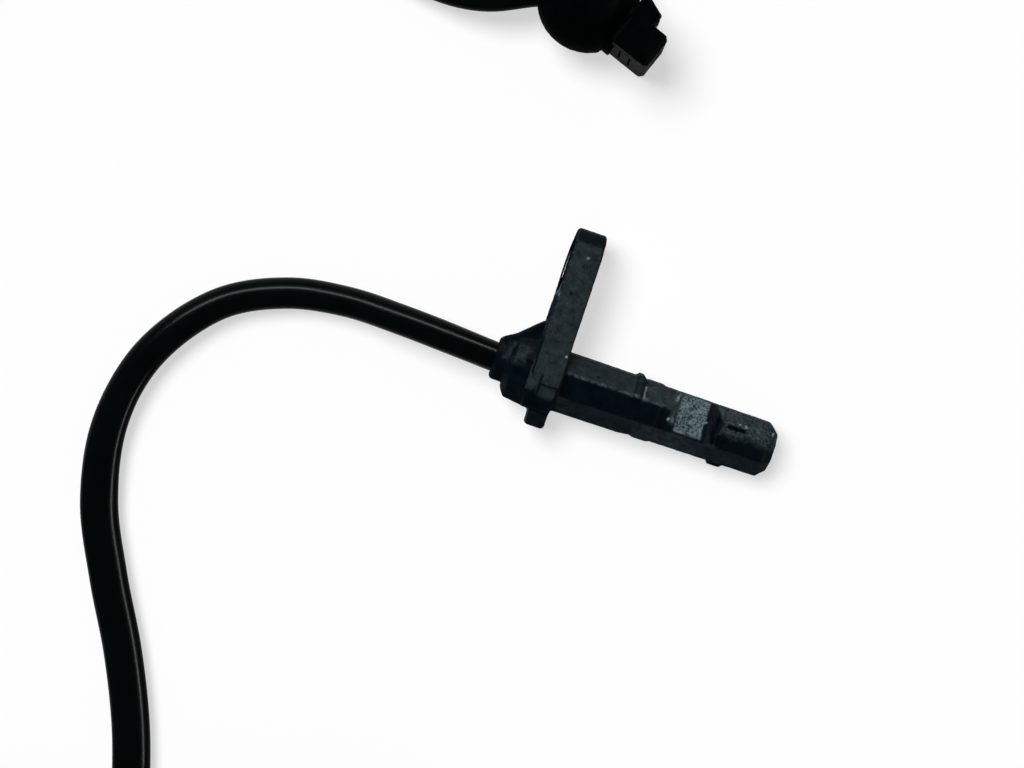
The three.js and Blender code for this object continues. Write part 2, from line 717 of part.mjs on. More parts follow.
function plugBoot() {
  const hollow = ball(BOOT_RADIUS - BOOT_WALL, BOOT_HEIGHT - BOOT_WALL);
  const mouth = rod(mouthRadius, 0, BOOT_RADIUS + PAST);
  const leadHole = rod(cableRadius + FIT, -BOOT_RADIUS - PAST, 0, ROUND, LEAD_IN_Y);
  const made = ball(BOOT_RADIUS, BOOT_HEIGHT)
    .subtract(hollow)
    .subtract(mouth)
    .subtract(leadHole.rotate([0, 0, LEAD_TURN_DEG]));
  return piece("plug_boot", made, rubber);
}

// The latch on its post, with a guard rail on each side.
function latch() {
  const root = NOSE_SIDES[1] - OVERLAP;
  const underside = LATCH_TOP - LATCH_THICKNESS;
  const top = [
    [LATCH_FRONT, root],
    [LATCH_FRONT, LATCH_TOP - LATCH_DROP],
    [LATCH_FRONT - LATCH_RAMP, LATCH_TOP],
    [noseBack, LATCH_TOP],
  ];
  const postBack = LATCH_FRONT - LATCH_POST;
  const armOutline = [...top, [noseBack, underside], [postBack, underside], [postBack, root]];
  const arm = prism(armOutline, -LATCH_WIDTH / 2, LATCH_WIDTH / 2, ALONG_Z, EDGE);
  const railOutline = [...top, [noseBack, root]];
  const rails = WIRES.map(({ side }) => {
    const middle = side * (NOSE_HEIGHT - RAIL_THICKNESS / 2);
    return prism(railOutline, middle - RAIL_THICKNESS / 2, middle + RAIL_THICKNESS / 2, ALONG_Z, EDGE);
  });
  return join(arm, ...rails);
}

// The way through the plug for one wire: round for its seal, square for its terminal.
function cavity(z) {
  const half = TERMINAL_SIZE / 2 + FIT;
  const [y0, y1] = [CAVITY_Y - half, CAVITY_Y + half];
  const square = block([sealFront - FIT, y0, z - half], [NOSE_FRONT + PAST, y1, z + half]);
  return square.add(rod(SEAL_RADIUS + FIT / 2, -SPIGOT_BACK - PAST, sealFront, ROUND, CAVITY_Y, z));
}

function plugHousing() {
  const [low, high] = NOSE_SIDES;
  const nose = block([noseBack, low, -NOSE_HEIGHT], [NOSE_FRONT, high, NOSE_HEIGHT], EDGE * 2);
  const spigot = rod(SPIGOT_RADIUS, -SPIGOT_BACK, noseBack + OVERLAP);
  const half = LOCK_WIDTH / 2 + FIT;
  const lockSlot = block(
    [LOCK_X - FIT, low - PAST, -half],
    [LOCK_X + LOCK_THICKNESS + FIT, lockTop + FIT, half],
  );
  const made = join(nose, spigot, latch())
    .subtract(cavity(-cavityZ))
    .subtract(cavity(cavityZ))
    .subtract(lockSlot);
  return piece("plug_housing", made, moulded);
}

function terminalLock() {
  const half = LOCK_WIDTH / 2;
  const made = block([LOCK_X, NOSE_SIDES[0], -half], [LOCK_X + LOCK_THICKNESS, lockTop, half]);
  return piece("plug_terminal_lock", made, lockPlastic);
}

// A folded box with the socket in front and the crimp behind, in one piece.
function plugTerminal({ name, side }) {
  const z = side * cavityZ;
  const half = TERMINAL_SIZE / 2;
  const [y0, y1] = [CAVITY_Y - half, CAVITY_Y + half];
  const box = block([terminalBack, y0, z - half], [terminalFront, y1, z + half]);
  const socketHalf = half / 2;
  const socket = block(
    [terminalBack + TERMINAL_BACK_WALL, CAVITY_Y - socketHalf, z - socketHalf],
    [terminalFront + PAST, CAVITY_Y + socketHalf, z + socketHalf],
  );
  const crimpBack = sealFront + FIT;
  const crimp = rod(half, crimpBack, terminalBack + TERMINAL_BACK_WALL / 2, SMALL_ROUND, CAVITY_Y, z);
  const bore = rod(CRIMP_BORE, crimpBack - PAST, terminalBack, SMALL_ROUND, CAVITY_Y, z);
  return piece(`plug_terminal_${name}`, box.add(crimp).subtract(socket).subtract(bore), tinned);
}

// A ribbed rubber sleeve round the core.
function wireSeal({ name, side }) {
  const start = -SPIGOT_BACK;
  const valley = SEAL_RADIUS - SEAL_RIB_HEIGHT;
  const pitch = SEAL_LENGTH / SEAL_RIBS;
  const profile = [[SEAL_BORE, start]];
  for (let i = 0; i < SEAL_RIBS; i++) {
    const x = start + i * pitch;
    profile.push([valley, x], [SEAL_RADIUS, x + pitch / 4], [SEAL_RADIUS, x + pitch / 2]);
    profile.push([valley, x + (3 * pitch) / 4]);
  }
  profile.push([valley, start + SEAL_LENGTH], [SEAL_BORE, start + SEAL_LENGTH], [SEAL_BORE, start]);
  return piece(`wire_seal_${name}`, turned(profile, SMALL_ROUND, 0, CAVITY_Y, side * cavityZ), sealRubber);
}

// A core from the jacket's end in the boot, in a smooth bend to its seal, to the terminal's crimp.
function plugCore({ name, side, insulation }) {
  const along = X.clone().applyAxisAngle(Z, rad(LEAD_TURN_DEG));
  const start = new THREE.Vector3(...PLUG_ROUTE.at(-1))
    .sub(new THREE.Vector3(...PLUG_CENTRE, BOOT_HEIGHT))
    .applyAxisAngle(Z, rad(-PLUG_TURN_DEG))
    .addScaledVector(along, FIT)
    .setZ(side * coreY);
  const end = new THREE.Vector3(-SPIGOT_BACK, CAVITY_Y, side * cavityZ);
  const pull = start.distanceTo(end) / 3;
  const path = new THREE.CubicBezierCurve3(
    start,
    start.clone().addScaledVector(along, pull),
    end.clone().addScaledVector(X, -pull),
    end,
  );
  const bend = swept(path, CORE_RADIUS, SMALL_ROUND, CORE_RADIUS);
  const straight = rod(CORE_RADIUS, end.x - CORE_RADIUS / 2, sealFront, SMALL_ROUND, CAVITY_Y, end.z);
  const bare = rod(CONDUCTOR_RADIUS, end.x, sealFront + BARE_LENGTH, SMALL_ROUND, CAVITY_Y, end.z);
  return piece(`plug_core_${name}`, join(bend, straight, bare), insulation);
}

function plug() {
  const group = new THREE.Group();
  group.add(plugBoot(), plugHousing(), terminalLock());
  for (const wire of WIRES) {
    group.add(plugTerminal(wire), wireSeal(wire), plugCore(wire));
  }
  group.position.set(...PLUG_CENTRE, BOOT_HEIGHT);
  group.rotation.z = rad(PLUG_TURN_DEG);
  return group;
}

const wheelSpeedSensor = new THREE.Group();
wheelSpeedSensor.add(sensorHead(), coil(), plug());
wheelSpeedSensor.add(cableRun("cable_run_sensor", SENSOR_ROUTE), cableRun("cable_run_plug", PLUG_ROUTE));
TIE_ANGLES_DEG.forEach((angle, i) => wheelSpeedSensor.add(coilTie(`coil_tie_${i + 1}`, angle)));

export default wheelSpeedSensor;
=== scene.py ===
import math

import bmesh
import bpy
import numpy as np
from mathutils import Matrix, Vector, noise


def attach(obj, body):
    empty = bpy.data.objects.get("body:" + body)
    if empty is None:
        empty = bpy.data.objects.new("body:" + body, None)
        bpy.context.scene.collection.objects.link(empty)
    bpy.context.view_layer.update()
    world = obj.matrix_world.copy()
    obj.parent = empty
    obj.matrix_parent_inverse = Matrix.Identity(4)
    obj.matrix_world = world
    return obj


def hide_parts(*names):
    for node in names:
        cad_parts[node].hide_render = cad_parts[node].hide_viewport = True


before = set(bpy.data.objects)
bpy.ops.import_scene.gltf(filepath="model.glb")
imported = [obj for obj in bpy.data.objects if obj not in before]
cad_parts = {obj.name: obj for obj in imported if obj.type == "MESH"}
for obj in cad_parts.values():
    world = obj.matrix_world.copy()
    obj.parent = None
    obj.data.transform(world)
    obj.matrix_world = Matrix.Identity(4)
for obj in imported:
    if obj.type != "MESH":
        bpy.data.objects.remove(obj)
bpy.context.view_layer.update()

# Sizes are in mm where nothing else is said, and MM makes metres of them
MM = 0.001

# Camera: straight down on the head, turned so that the barrel runs down to the right
VIEW_CENTRE = (-19.6, -11.0)  # mm, in the middle of the picture
VIEW_TURN = math.radians(18.6)
VIEW_LEVEL = 5.0  # mm above the surface, where the picture's width is measured
VIEW_WIDTH = 165.2  # mm
VIEW_DISTANCE = 450.0  # mm above that level
VIEW_NEAREST = 0.01  # m

# The lead: a slightly oval jacket whose wide side turns from upright at the head to flat further on
CABLE_DIAMETER = 5.2  # of the plain round tube that it follows
CABLE_WIDTH = 6.24
CABLE_HEIGHT = 4.8
CABLE_RINGS_STEP = 1.1  # mm between two rings of its mesh
CABLE_SIDES = 32
CABLE_LIES_WITHIN = 0.2  # mm above the lowest place of the plain tube
ROUTE_FINENESS = 24  # fine points from one point of the route to the next
PATH_STRIDE = 3
ROLL_AT = [  # mm from its start, degrees
    (0, 88),
    (8, 79),
    (16, 70),
    (32, 69),
    (40, 62),
    (52, 58),
    (60, 49),
    (68, 42),
    (76, 37),
    (84, 21),
    (96, 0),
]

# Its coil, out of the picture, in mm
COIL_CENTRE = (-17.0, -114.1)
COIL_RADIUS = 31.0
COIL_START = 198.6  # degrees
COIL_TURNS = 1.75
COIL_STEP = 15  # degrees between two points of the route
COIL_LEVELS = (4.0, 9.35)
COIL_RISE = (465, 535)  # degrees

# The sensor head: where its flange's front face crosses the barrel's axis, and how it lies
HEAD_PLACE = (-12.593, -8.05, 6.243)
HEAD_TILT = math.radians(2.762)
BARREL_ROLL = math.radians(-17)
FLANGE_THICKNESS = 4.85
HOLE_Y = 18.15
BUSH_OUTER = 4.5
BUSH_INNER = 3.3
BUSH_PROUD = 0.15
BUSH_CHAMFER = 0.25
BUSH_SIDES = 96
WINDOW_X = 19.5
NOTCH_X = 24.1
TIP_X = 27.0

# The lead's route in metres, as in the model: from the boss to the coil, and from the coil to the boot
SENSOR_ROUTE = [
    (-0.01669, -0.0077, 0.00644),
    (-0.0202, -0.0077, 0.00661),
    (-0.02368, -0.0077, 0.00678),
    (-0.0288, -0.0074, 0.0069),
    (-0.0391, -0.0069, 0.0058),
    (-0.0492, -0.0069, 0.0036),
    (-0.0590, -0.0087, 0.00262),
    (-0.0688, -0.0139, 0.0026),
    (-0.0769, -0.0250, 0.0026),
    (-0.0794, -0.0374, 0.0026),
    (-0.0771, -0.0502, 0.0026),
    (-0.0717, -0.0615, 0.0026),
    (-0.0656, -0.0723, 0.0026),
    (-0.0605, -0.0834, 0.0026),
    (-0.0566, -0.0950, 0.00275),
    (-0.0547, -0.1006, 0.0033),
    (-0.0524, -0.1061, 0.00385),
]
PLUG_ROUTE = [
    (-0.0452, -0.0910, 0.00945),
    (-0.0562, -0.0951, 0.0088),
    (-0.0683, -0.0999, 0.0054),
    (-0.0804, -0.1012, 0.00275),
    (-0.0904, -0.0928, 0.0026),
    (-0.0966, -0.0750, 0.0026),
    (-0.1040, -0.0501, 0.0026),
    (-0.1118, -0.0265, 0.0026),
    (-0.1198, -0.0033, 0.0026),
    (-0.1232, 0.0077, 0.0026),
    (-0.1246, 0.0177, 0.0026),
    (-0.1226, 0.0269, 0.0026),
    (-0.1174, 0.0337, 0.0026),
    (-0.1092, 0.0383, 0.0026),
    (-0.0986, 0.0424, 0.0026),
    (-0.0868, 0.0462, 0.0026),
    (-0.0682, 0.0486, 0.0026),
    (-0.0600, 0.0478, 0.0030),
    (-0.0530, 0.0469, 0.0043),
    (-0.0476, 0.0467, 0.0059),
    (-0.0428, 0.0475, 0.0073),
    (-0.03627, 0.0504, 0.0083),
    (-0.03314, 0.05145, 0.0083),
]


def smoothstep(low, high, value):
    t = min(max((value - low) / (high - low), 0), 1)
    return t * t * (3 - 2 * t)


def coil_route():
    """The coil's turns: most of a level turn, a rise, and the rest of the turns on top."""
    points = []
    count = round(COIL_TURNS * 360 / COIL_STEP)
    for i in range(count + 1):
        angle = COIL_START + i * COIL_STEP
        low, high = COIL_LEVELS
        level = low + (high - low) * smoothstep(*COIL_RISE, angle)
        turn = math.radians(angle)
        x = COIL_CENTRE[0] + COIL_RADIUS * math.cos(turn)
        y = COIL_CENTRE[1] + COIL_RADIUS * math.sin(turn)
        points.append((x * MM, y * MM, level * MM))
    return points


def centripetal(points, step):
    """Points a step apart on the centripetal Catmull-Rom curve through the given ones."""
    p = [np.array(q, float) for q in points]
    p = [2 * p[0] - p[1], *p, 2 * p[-1] - p[-2]]
    fine = []
    for a, b, c, d in zip(p, p[1:], p[2:], p[3:]):
        t1 = np.linalg.norm(b - a) ** 0.5
        t2 = t1 + np.linalg.norm(c - b) ** 0.5
        t3 = t2 + np.linalg.norm(d - c) ** 0.5
        for t in np.linspace(t1, t2, ROUTE_FINENESS, endpoint=False):
            a1 = a * (t1 - t) / t1 + b * t / t1
            a2 = b * (t2 - t) / (t2 - t1) + c * (t - t1) / (t2 - t1)
            a3 = c * (t3 - t) / (t3 - t2) + d * (t - t2) / (t3 - t2)
            b1 = a1 * (t2 - t) / t2 + a2 * t / t2
            b2 = a2 * (t3 - t) / (t3 - t1) + a3 * (t - t1) / (t3 - t1)
            fine.append(b1 * (t2 - t) / (t2 - t1) + b2 * (t - t1) / (t2 - t1))
    fine.append(p[-2])
    fine = np.array(fine)
    along = np.concatenate([[0], np.cumsum(np.linalg.norm(np.diff(fine, axis=0), axis=1))])
    marks = np.linspace(0, along[-1], round(along[-1] / step) + 1)
    return np.stack([np.interp(marks, along, fine[:, k]) for k in range(3)], 1), marks


def mesh_object(name, vertices, faces):
    mesh = bpy.data.meshes.new(name)
    mesh.from_pydata([tuple(v) for v in vertices], [], faces)
    mesh.update()
    for polygon in mesh.polygons:
        polygon.use_smooth = True
    return put_object(name, mesh)


def put_object(name, mesh):
    made = bpy.data.objects.new(name, mesh)
    bpy.context.scene.collection.objects.link(made)
    return made


def put_camera():
    data = bpy.data.cameras.new("camera")
    data.sensor_fit = "HORIZONTAL"
    data.angle = 2 * math.atan(VIEW_WIDTH / 2 / VIEW_DISTANCE)
    data.clip_start = VIEW_NEAREST
    camera = put_object("camera", data)
    camera.location = (VIEW_CENTRE[0] * MM, VIEW_CENTRE[1] * MM, (VIEW_LEVEL + VIEW_DISTANCE) * MM)
    camera.rotation_euler = (0, 0, VIEW_TURN)
    bpy.context.scene.camera = camera


def make_lead():
    """The jacket as an oval tube along the whole route, closed at both ends."""
    route = SENSOR_ROUTE + coil_route() + PLUG_ROUTE
    centres, marks = centripetal(route, CABLE_RINGS_STEP * MM)
    tangents = np.gradient(centres, axis=0)
    tangents /= np.linalg.norm(tangents, axis=1)[:, None]
    roll_marks, rolls = zip(*ROLL_AT)
    vertices, faces = [], []
    for i, (centre, tangent, mark) in enumerate(zip(centres, tangents, marks)):
        side = np.cross(tangent, (0, 0, 1))
        side /= np.linalg.norm(side)
        up = np.cross(side, tangent)
        roll = -math.radians(np.interp(mark / MM, roll_marks, rolls))
        wide, tall = CABLE_WIDTH / 2 * MM, CABLE_HEIGHT / 2 * MM
        half_height = math.hypot(wide * math.sin(roll), tall * math.cos(roll))
        # Where the plain tube lies on the surface, the jacket is let down onto it
        lies = centre[2] < (CABLE_DIAMETER / 2 + CABLE_LIES_WITHIN) * MM
        drop = centre[2] - half_height if lies or centre[2] < half_height else 0
        for k in range(CABLE_SIDES):
            turn = 2 * math.pi * k / CABLE_SIDES
            a, b = wide * math.cos(turn), tall * math.sin(turn)
            across = a * math.cos(roll) - b * math.sin(roll)
            high = a * math.sin(roll) + b * math.cos(roll)
            point = centre + side * across + up * high
            vertices.append((point[0], point[1], point[2] - drop))
        if i:
            low, ring = (i - 1) * CABLE_SIDES, i * CABLE_SIDES
            for k in range(CABLE_SIDES):
                n = (k + 1) % CABLE_SIDES
                faces.append((low + k, low + n, ring + n, ring + k))
    last = len(vertices) - CABLE_SIDES
    faces.append(tuple(range(CABLE_SIDES))[::-1])
    faces.append(tuple(range(last, last + CABLE_SIDES)))
    lead = mesh_object("lead", vertices, faces)
    bm = bmesh.new()
    bm.from_mesh(lead.data)
    bmesh.ops.recalc_face_normals(bm, faces=bm.faces)
    bm.to_mesh(lead.data)
    bm.free()
    return lead, [tuple(c) for c in centres[::PATH_STRIDE]], marks[-1]


put_camera()
lead, lead_path, lead_length = make_lead()
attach(lead, "root")
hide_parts("cable_run_sensor", "cable_run_plug", "cable_coil")


# Materials: colours are linear, noise scales are per metre
DEEP = (0.0005, 0.0019, 0.0034)
DEEP_LIGHT = (0.0017, 0.0044, 0.0068)
INKY = (0.0001, 0.0006, 0.0007)
INKY_LIGHT = (0.0004, 0.0012, 0.0013)
TONE_LEVELS = (0.36, 0.64)  # of the noise, between which the colour changes
GLOSS_LEVELS = (0.3, 0.7)  # and the roughness
FINENESS = 3.7  # how much finer the noise of the gloss is than that of the colour
BUMP_DEPTH = 0.00005  # m

# The plastic with a dusty film, wear and painted light, shade and highlights
DEEP_SCALE = 480
DUST_SPECK_SCALE = 2300
DUST_SPECK_CONTRAST = 8.0
DUST_PATCH_SCALE = 620
DUST_PATCH_CONTRAST = 2.4
DUST_LEAST = 0.12  # share that is left between specks
DUSTED_GLOSS = (0.4, 0.6)
DUSTED_GLOSS_SCALE = 1700
DUSTED_BUMP = 0.4


def grey(level):
    return (level, level, level)


def cool(level):
    """The faint blue-green of the black plastics."""
    return (0.68 * level, 0.95 * level, 1.04 * level)


def shader_nodes(material):
    material.use_nodes = True
    tree = material.node_tree
    tree.nodes.clear()
    shader = tree.nodes.new("ShaderNodeBsdfPrincipled")
    output = tree.nodes.new("ShaderNodeOutputMaterial")
    tree.links.new(shader.outputs["BSDF"], output.inputs["Surface"])
    return tree, shader


def noise_node(tree, scale, detail=4.0, roughness=0.6):
    place = tree.nodes.new("ShaderNodeTexCoord")
    made = tree.nodes.new("ShaderNodeTexNoise")
    made.inputs["Scale"].default_value = scale
    made.inputs["Detail"].default_value = detail
    made.inputs["Roughness"].default_value = roughness
    tree.links.new(place.outputs["Object"], made.inputs["Vector"])
    return made.outputs["Fac"]


def ramp_node(tree, value, levels, colours):
    """A colour that goes from one to another between two levels of a value."""
    made = tree.nodes.new("ShaderNodeValToRGB")
    for element, level, colour in zip(made.color_ramp.elements, levels, colours):
        element.position = level
        element.color = (*colour, 1)
    tree.links.new(value, made.inputs["Fac"])
    return made.outputs["Color"]


def value_node(tree, operation, *values):
    """A Math node over sockets and plain numbers."""
    made = tree.nodes.new("ShaderNodeMath")
    made.operation = operation
    for socket, value in zip(made.inputs, values):
        if isinstance(value, float):
            socket.default_value = value
        else:
            tree.links.new(value, socket)
    return made.outputs[0]


def attribute_node(tree, name):
    made = tree.nodes.new("ShaderNodeAttribute")
    made.attribute_name = name
    return made.outputs["Fac"]


def gloss_nodes(tree, shader, value, gloss, bump):
    """Roughness between two levels, and a fine bump, over the same noise."""
    roughness = ramp_node(tree, value, GLOSS_LEVELS, [grey(level) for level in gloss])
    tree.links.new(roughness, shader.inputs["Roughness"])
    made = tree.nodes.new("ShaderNodeBump")
    made.inputs["Strength"].default_value = bump
    made.inputs["Distance"].default_value = BUMP_DEPTH
    tree.links.new(value, made.inputs["Height"])
    tree.links.new(made.outputs["Normal"], shader.inputs["Normal"])


def surface(name, dark, light, scale, gloss, bump, metallic=0.0, specular=0.02):
    """A finish that wanders between two colours and two roughness levels, with a fine bump."""
    material = bpy.data.materials.new(name)
    tree, shader = shader_nodes(material)
    shader.inputs["Metallic"].default_value = metallic
    shader.inputs["Specular IOR Level"].default_value = specular
    colour = ramp_node(tree, noise_node(tree, scale), TONE_LEVELS, (dark, light))
    tree.links.new(colour, shader.inputs["Base Color"])
    gloss_nodes(tree, shader, noise_node(tree, scale * FINENESS), gloss, bump)
    return material


def dust_and_light_plastic(name, specular):
    """Black plastic under the dusty film, scuffs and wear, and the painted light, shade and highlights,
    that the mesh's
    points carry: the first attribute is how light it is there, and grain how much that varies from
    place to place."""
    material = bpy.data.materials.new(name)
    tree, shader = shader_nodes(material)
    shader.inputs["Specular IOR Level"].default_value = specular
    deep = ramp_node(tree, noise_node(tree, DEEP_SCALE), TONE_LEVELS, (DEEP, DEEP_LIGHT))
    fine = value_node(tree, "SUBTRACT", noise_node(tree, DUST_SPECK_SCALE, roughness=0.75), 0.5)
    patchy = value_node(tree, "SUBTRACT", noise_node(tree, DUST_PATCH_SCALE, detail=3.0), 0.5)
    patches = value_node(tree, "MULTIPLY_ADD", patchy, DUST_PATCH_CONTRAST, 1.0)
    specks = value_node(tree, "MULTIPLY", fine, DUST_SPECK_CONTRAST)
    level = value_node(tree, "MULTIPLY_ADD", specks, attribute_node(tree, "grain"), patches)
    level = value_node(tree, "MAXIMUM", level, DUST_LEAST)
    level = value_node(tree, "MULTIPLY", level, attribute_node(tree, "dust_and_light"))
    dust_and_light = tree.nodes.new("ShaderNodeVectorMath")
    dust_and_light.operation = "SCALE"
    dust_and_light.inputs[0].default_value = cool(1.0)
    tree.links.new(level, dust_and_light.inputs["Scale"])
    total = tree.nodes.new("ShaderNodeVectorMath")
    total.operation = "ADD"
    tree.links.new(dust_and_light.outputs["Vector"], total.inputs[0])
    tree.links.new(deep, total.inputs[1])
    tree.links.new(total.outputs["Vector"], shader.inputs["Base Color"])
    gloss_nodes(tree, shader, noise_node(tree, DUSTED_GLOSS_SCALE), DUSTED_GLOSS, DUSTED_BUMP)
    return material


housing_plastic = dust_and_light_plastic("housing_plastic", 0.006)
matte_back = dust_and_light_plastic("matte_back", 0.0)
cable_jacket = surface(
    "cable_jacket", INKY, INKY_LIGHT, scale=160, gloss=(0.2, 0.24), bump=0.03, specular=0.014
)
boot_rubber = surface(
    "boot_rubber", INKY, INKY_LIGHT, scale=420, gloss=(0.5, 0.65), bump=0.5, specular=0.003
)
plug_plastic = surface(
    "plug_plastic", INKY, cool(0.0016), scale=420, gloss=(0.4, 0.55), bump=0.3, specular=0.003
)
tie_nylon = surface(
    "tie_nylon", cool(0.006), cool(0.012), scale=500, gloss=(0.4, 0.5), bump=0.2, specular=0.05
)
bush_steel = surface(
    "bush_steel", grey(0.13), grey(0.22),
    scale=900, gloss=(0.4, 0.55), bump=0.25, metallic=1.0, specular=0.5,
)
tinned_metal = surface(
    "tinned_metal", (0.5, 0.49, 0.45), (0.66, 0.65, 0.6),
    scale=800, gloss=(0.2, 0.35), bump=0.15, metallic=1.0, specular=0.5,
)
magnet = surface(
    "magnet", grey(0.08), grey(0.14),
    scale=900, gloss=(0.4, 0.6), bump=0.4, metallic=0.6, specular=0.5,
)
epoxy = surface(
    "epoxy", grey(0.015), grey(0.03), scale=900, gloss=(0.35, 0.5), bump=0.25
)
carrier_plastic = surface(
    "carrier_plastic", (0.2, 0.18, 0.12), (0.27, 0.25, 0.18), scale=600, gloss=(0.45, 0.6), bump=0.2
)
core_brown = surface(
    "core_brown", (0.07, 0.03, 0.014), (0.1, 0.045, 0.02), scale=500, gloss=(0.35, 0.5), bump=0.1
)
core_blue = surface(
    "core_blue", (0.012, 0.045, 0.2), (0.02, 0.065, 0.27), scale=500, gloss=(0.35, 0.5), bump=0.1
)
seal_rubber = surface(
    "seal_rubber", (0.2, 0.045, 0.015), (0.28, 0.07, 0.025), scale=500, gloss=(0.45, 0.6), bump=0.2
)
lock_plastic = surface(
    "lock_plastic", DEEP, DEEP_LIGHT, scale=600, gloss=(0.4, 0.55), bump=0.2, specular=0.003
)

# Materials of the nodes by how their names start; the rest are core wires, or replaced further on
NODE_MATERIALS = {
    "chip_carrier": carrier_plastic,
    "bias_magnet": magnet,
    "sensing_chip": epoxy,
    "smoothing_capacitor": epoxy,
    "lead_frame": tinned_metal,
    "crimp_sleeve": tinned_metal,
    "plug_terminal_lock": lock_plastic,
    "plug_terminal": tinned_metal,
    "wire_seal": seal_rubber,
}
for node_name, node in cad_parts.items():
    chosen = core_brown if node_name.endswith("_supply") else core_blue
    for start, material in NODE_MATERIALS.items():
        if node_name.startswith(start):
            chosen = material
            break
    node.data.materials.clear()
    node.data.materials.append(chosen)
lead.data.materials.append(cable_jacket)


# Moulded pieces: the same solids with softer edges and slightly uneven faces
MERGE_WITHIN = 2e-6  # m
FLAT_WITHIN = math.radians(1.0)
SHARP_FROM = math.radians(18)
CREASE_FROM = math.radians(38)
MOST_SPLITS = 9


def bevelled(node_name, width):
    """A mesh of the node with its sharp edges broken."""
    bm = bmesh.new()
    bm.from_mesh(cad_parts[node_name].data)
    bmesh.ops.remove_doubles(bm, verts=bm.verts, dist=MERGE_WITHIN)
    bmesh.ops.dissolve_limit(bm, angle_limit=FLAT_WITHIN, verts=bm.verts, edges=bm.edges)
    sharp = [e for e in bm.edges if len(e.link_faces) == 2 and e.calc_face_angle(0) > SHARP_FROM]
    bmesh.ops.bevel(
        bm,
        geom=sharp,
        offset=width * MM,
        offset_type="OFFSET",
        segments=2,
        profile=0.5,
        affect="EDGES",
        clamp_overlap=True,
        loop_slide=True,
    )
    bmesh.ops.triangulate(bm, faces=bm.faces)
    return bm


def refine(bm, longest):
    """Splits edges until none is longer."""
    for _ in range(MOST_SPLITS):
        split = [e for e in bm.edges if e.calc_length() > longest * MM]
        if not split:
            return
        bmesh.ops.subdivide_edges(bm, edges=split, cuts=1)
        bmesh.ops.triangulate(bm, faces=[f for f in bm.faces if len(f.verts) > 3])


def roughen(bm, amount):
    """Moves each point along its normal; amount gives the swing and the grain in mm."""
    bm.normal_update()
    moved = []
    for vertex in bm.verts:
        swing, grain = amount(vertex)
        moved.append(vertex.co + vertex.normal * noise.noise(vertex.co / (grain * MM)) * swing * MM)
    for vertex, place in zip(bm.verts, moved):
        vertex.co = place


def finished(bm, name, node_name, materials):
    """The mesh as a piece of the scene that stands for a node."""
    mesh = bpy.data.meshes.new(name)
    bm.to_mesh(mesh)
    bm.free()
    for polygon in mesh.polygons:
        polygon.use_smooth = True
    mesh.set_sharp_from_angle(angle=CREASE_FROM)
    for material in materials:
        mesh.materials.append(material)
    made = put_object(name, mesh)
    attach(made, "root")
    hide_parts(node_name)
    return made


def melted(node_name, grid, rounds):
    """The node's solid remade on a fine even grid, so that its edges are round as from a mould."""
    source = put_object(f"{node_name}_source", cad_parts[node_name].data.copy())
    remesh = source.modifiers.new("melt", "REMESH")
    remesh.mode = "VOXEL"
    remesh.voxel_size = grid * MM
    smooth = source.modifiers.new("soften", "SMOOTH")
    smooth.factor = 0.5
    smooth.iterations = rounds
    bpy.context.view_layer.update()
    evaluated = source.evaluated_get(bpy.context.evaluated_depsgraph_get())
    bm = bmesh.new()
    bm.from_mesh(evaluated.to_mesh())
    evaluated.to_mesh_clear()
    bpy.data.objects.remove(source)
    bm.normal_update()
    return bm


head_to_row = Matrix.Translation(Vector(HEAD_PLACE) * MM) @ Matrix.Rotation(HEAD_TILT, 4, "Y")
row_to_head = head_to_row.inverted()
row_to_barrel = Matrix.Rotation(-BARREL_ROLL, 4, "X") @ row_to_head

# Tones of the housing's plastic, most of them painted light, shade and highlights: how light each is,
# and how patchy
BARE = (0.0, 0.4)
# Painted shade on the bead
BEAD_SHADE_PAINT = (0.008, 0.4)
# Painted light on the lit upper facet, paler towards the tip
LIT_FACET_PAINT = (0.019, 0.28)
PALER_LIT_FACET_PAINT = (0.032, 0.4)
# Painted tone of the shaded side facets, lit by bounce from the floor
SHADED_SIDE_PAINT = (0.012, 0.35)
# Painted bounce light from the floor on the low facet
LOW_FACET_BOUNCE_PAINT = (0.03, 0.35)
# Painted highlight along the ridge
RIDGE_HIGHLIGHT_PAINT = (0.05, 0.9)
# Painted light on the ramp before the window
RAMP_LIGHT_PAINT = (0.05, 0.8)
WINDOW = (0.11, 1.0)
# Tip: scuffing, and painted light on its upper side; then a painted light band along its top
TIP_SCUFF_AND_LIGHT = (0.033, 1.0)
TIP_TOP_LIGHT_PAINT = (0.034, 0.8)
# Painted light on the ear's top faces
EAR_TOP_LIGHT_PAINT = (0.0235, 0.26)
EAR_BACK = (0.02, 1.0)
TAB = (0.0025, 0.4)
# Painted highlight on the boss's top
BOSS_HIGHLIGHT_PAINT = (0.02, 0.7)
# Painted glints: small bright highlights and reflections
GLINT = (0.26, 0.5)
UPRIGHT_LIGHT_PAINT = 0.004  # painted light reflected onto upright faces, elsewhere
UPRIGHT_GRAIN = 0.4

